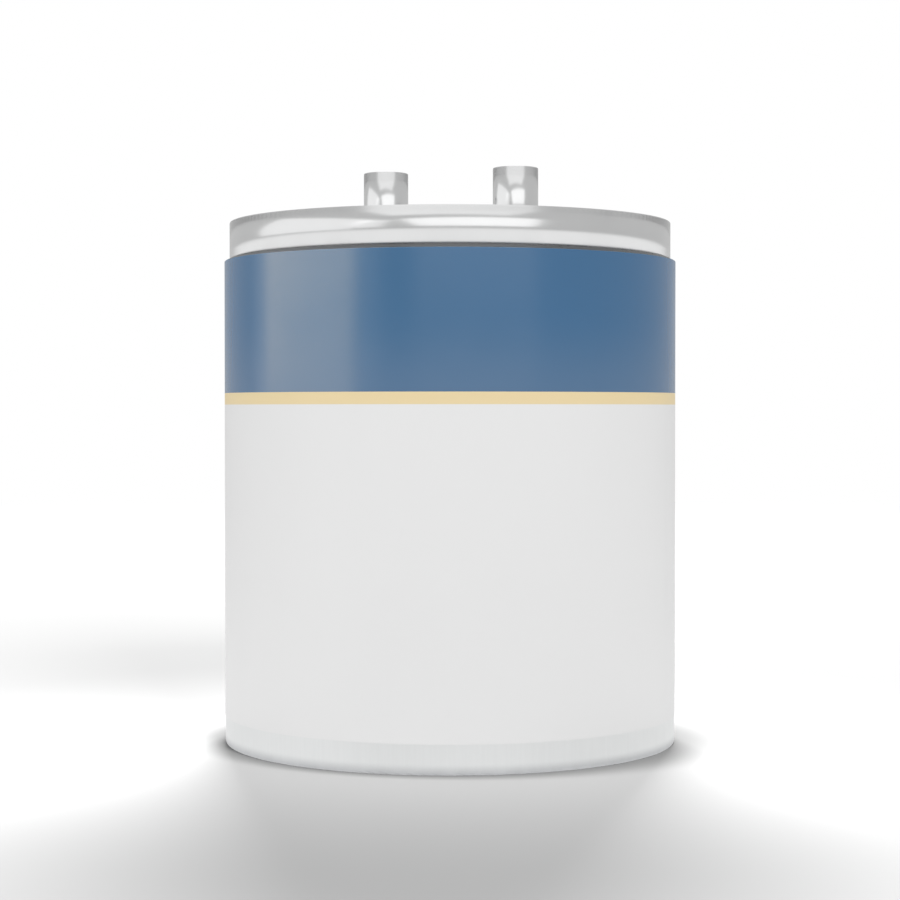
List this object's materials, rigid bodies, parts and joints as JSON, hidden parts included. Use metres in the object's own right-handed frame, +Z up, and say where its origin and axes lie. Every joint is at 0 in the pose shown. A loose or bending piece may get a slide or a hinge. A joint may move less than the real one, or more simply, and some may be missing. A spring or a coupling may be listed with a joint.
{
  "type": "motor run capacitor",
  "caption": "Round metal can capacitor for running a motor, with a wrap label, a metal lid with a raised rim, and insulated terminal posts.",
  "frame": {"origin": "centre of the ring that the can stands on", "axes": "+Z up the can's axis towards the terminals, +X from the left post to the right post"},
  "size_m": [0.0636, 0.0636, 0.0806],
  "materials": {
    "can_metal": "drawn, satin",
    "white_label": "printed film, satin",
    "sand_label": "printed film, satin",
    "blue_label": "printed film, satin",
    "lid_metal": "turned and polished",
    "sealing_compound": "cured compound, satin",
    "post_metal": "turned and polished",
    "washer_metal": "plated",
    "insulator_moulding": "moulded phenolic",
    "gasket_rubber": "matt"
  },
  "bodies": {
    "root": {"can": "can_metal", "white_label_field": "white_label", "sand_label_stripe": "sand_label", "blue_label_field": "blue_label", "lid": "lid_metal", "lid_seal": "sealing_compound", "left_terminal_post": "post_metal", "right_terminal_post": "post_metal", "post_washers": "washer_metal", "rivet_washers": "washer_metal", "left_upper_insulator": "insulator_moulding", "right_upper_insulator": "insulator_moulding", "left_lower_insulator": "insulator_moulding", "right_lower_insulator": "insulator_moulding", "left_gasket": "gasket_rubber", "right_gasket": "gasket_rubber"}
  },
  "joints": []
}
